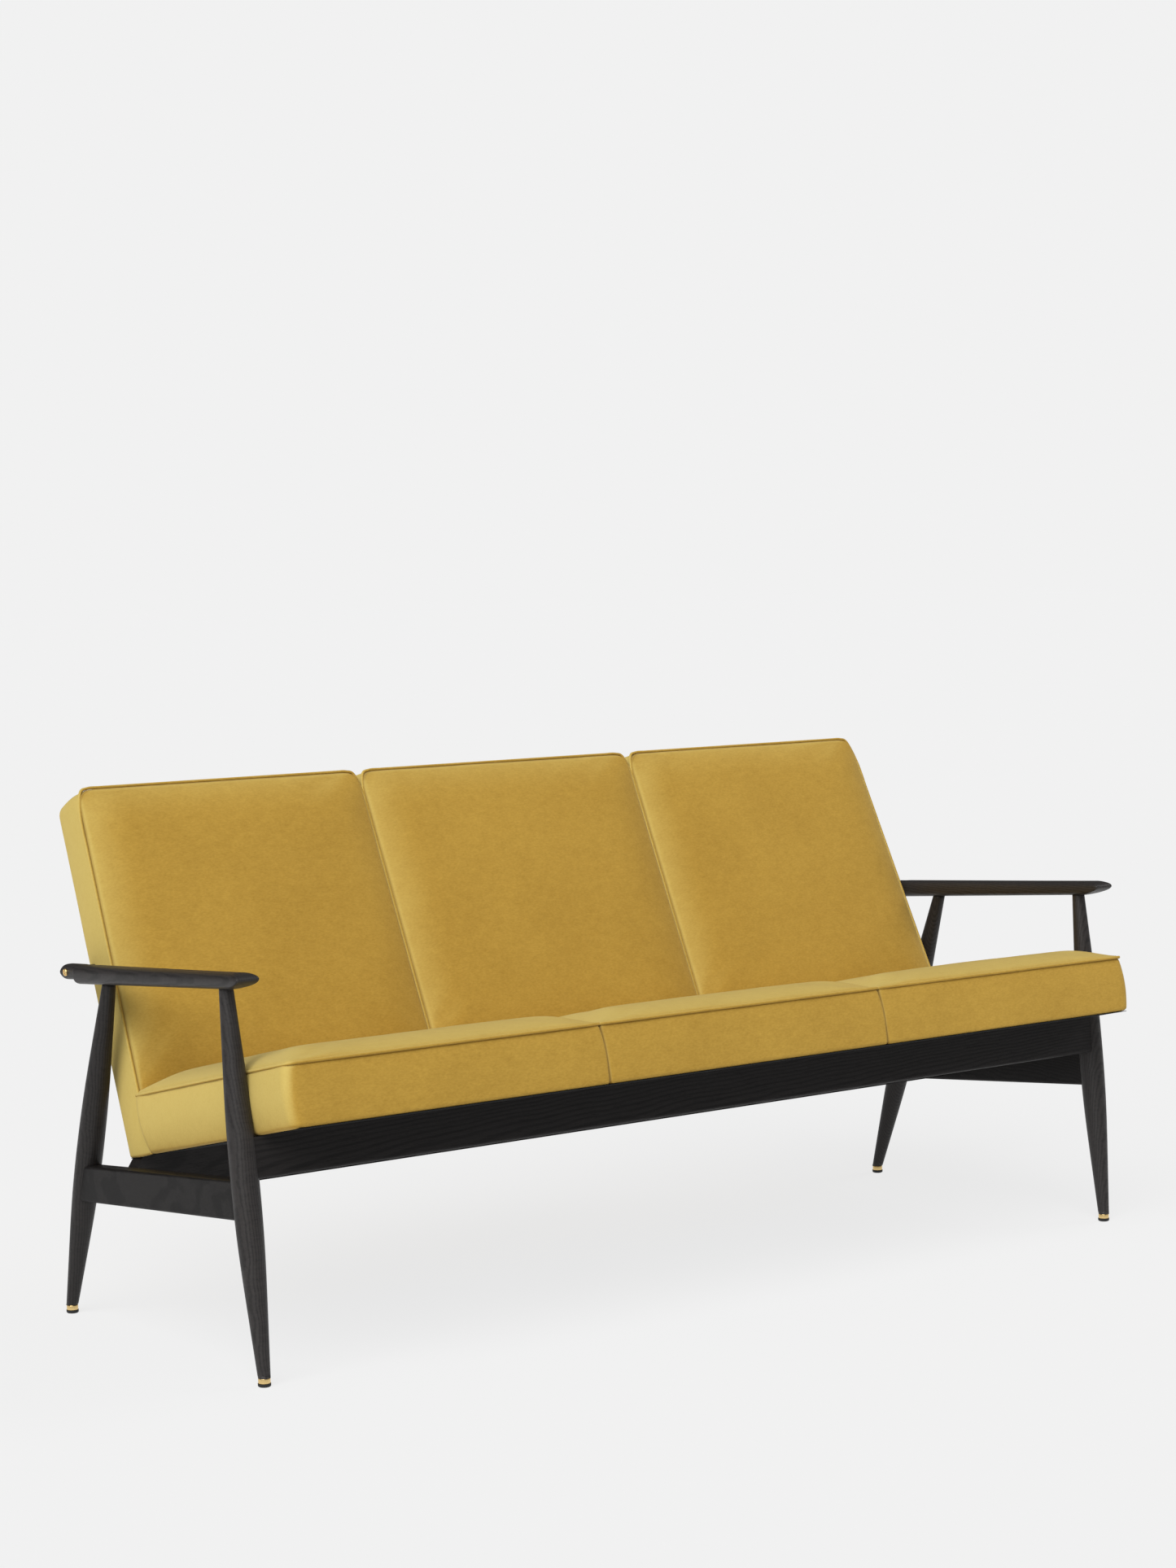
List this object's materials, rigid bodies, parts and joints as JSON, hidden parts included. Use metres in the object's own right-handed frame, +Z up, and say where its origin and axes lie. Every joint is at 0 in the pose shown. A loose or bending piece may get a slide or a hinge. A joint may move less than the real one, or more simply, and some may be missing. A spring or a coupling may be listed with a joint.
{
  "type": "sofa with wooden legs",
  "caption": "Sofa with a sectioned velvet seat and backrest on a dark turned-wood frame with slim armrests and brass ferrules.",
  "frame": {"origin": "floor level under the middle of the sofa (centre of its overall footprint)", "axes": "+X to the right of a person who sits on the sofa's mirror side (viewer's right), +Y towards the backrest, +Z up"},
  "size_m": [1.7156, 0.7449, 0.8076],
  "materials": {
    "stained_ash": "satin, near-black stain with open grain",
    "frame_wood": "planed, unfinished",
    "beech_dowel": "unfinished",
    "brass": "brushed",
    "glide_plastic": "matte",
    "velvet": "short pile, mustard",
    "webbing": "woven",
    "dust_cloth": "non-woven, black",
    "steel": "zinc plated"
  },
  "bodies": {
    "root": {"arm_bolt_left": "brass", "arm_bolt_right": "brass", "arm_insert_left": "brass", "arm_insert_right": "brass", "arm_spacer_left": "stained_ash", "arm_spacer_right": "stained_ash", "armrest_left": "stained_ash", "armrest_right": "stained_ash", "back_bottom_member": "frame_wood", "back_pad_left": "velvet", "back_pad_middle": "velvet", "back_pad_right": "velvet", "back_panel_left": "velvet", "back_panel_middle": "velvet", "back_panel_right": "velvet", "back_post_left": "frame_wood", "back_post_right": "frame_wood", "back_screws": "steel", "back_stile_left": "frame_wood", "back_stile_right": "frame_wood", "back_top_member": "frame_wood", "back_webbing": "webbing", "dust_cover": "dust_cloth", "ferrule_front_left": "brass", "ferrule_front_right": "brass", "ferrule_rear_left": "brass", "ferrule_rear_right": "brass", "front_rail": "stained_ash", "front_rail_dowels": "beech_dowel", "glide_front_left": "glide_plastic", "glide_front_right": "glide_plastic", "glide_rear_left": "glide_plastic", "glide_rear_right": "glide_plastic", "leg_front_left": "stained_ash", "leg_front_right": "stained_ash", "leg_rear_left": "stained_ash", "leg_rear_right": "stained_ash", "rear_rail": "stained_ash", "rear_rail_dowels": "beech_dowel", "seat_bearer_left": "frame_wood", "seat_bearer_right": "frame_wood", "seat_front_member": "frame_wood", "seat_pad_left": "velvet", "seat_pad_middle": "velvet", "seat_pad_right": "velvet", "seat_rear_member": "frame_wood", "seat_screws": "steel", "seat_side_member_left": "frame_wood", "seat_side_member_right": "frame_wood", "seat_webbing": "webbing", "side_rail_dowels_left": "beech_dowel", "side_rail_dowels_right": "beech_dowel", "side_rail_left": "stained_ash", "side_rail_right": "stained_ash", "tie_plates": "steel", "tie_screws": "steel"}
  },
  "joints": []
}
